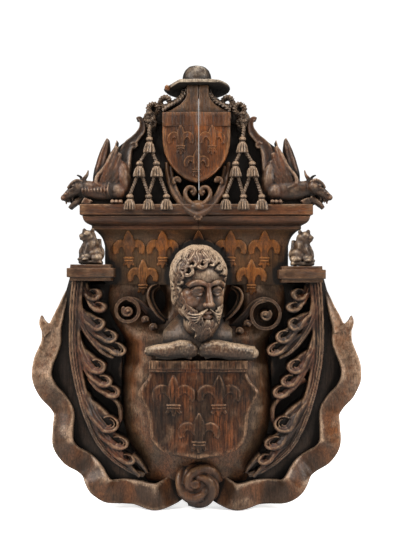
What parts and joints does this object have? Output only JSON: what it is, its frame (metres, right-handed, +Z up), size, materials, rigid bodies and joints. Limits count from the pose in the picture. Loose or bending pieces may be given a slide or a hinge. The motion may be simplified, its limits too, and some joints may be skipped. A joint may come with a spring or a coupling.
{
  "type": "carved coat of arms",
  "caption": "Carved oak wall crest: a tasselled hat over a shield, a frieze of lilies, a bearded bust over a larger shield, leafy consoles and a knotted ribbon.",
  "frame": {"origin": "on the flat back face, at the middle of the width and at the height of the side slabs", "axes": "+Y out of the back towards the wall, +Z up, +X to the viewer's right, the carving faces -Y"},
  "size_m": [0.4946, 0.13, 0.6673],
  "materials": {
    "panel_oak": "dark waxed oak, rubbed on the high parts and dusty in the hollows",
    "bust_oak": "dark waxed oak with a greyish bloom on the hair",
    "slab_oak": "reddish brown waxed oak, satin",
    "figure_oak": "dark waxed oak, worn and dull"
  },
  "bodies": {
    "root": {"carved_panel": "panel_oak", "bust": "bust_oak", "left_bracket_slab": "slab_oak", "right_bracket_slab": "slab_oak", "left_seated_figure": "figure_oak", "right_seated_figure": "figure_oak"}
  },
  "joints": []
}
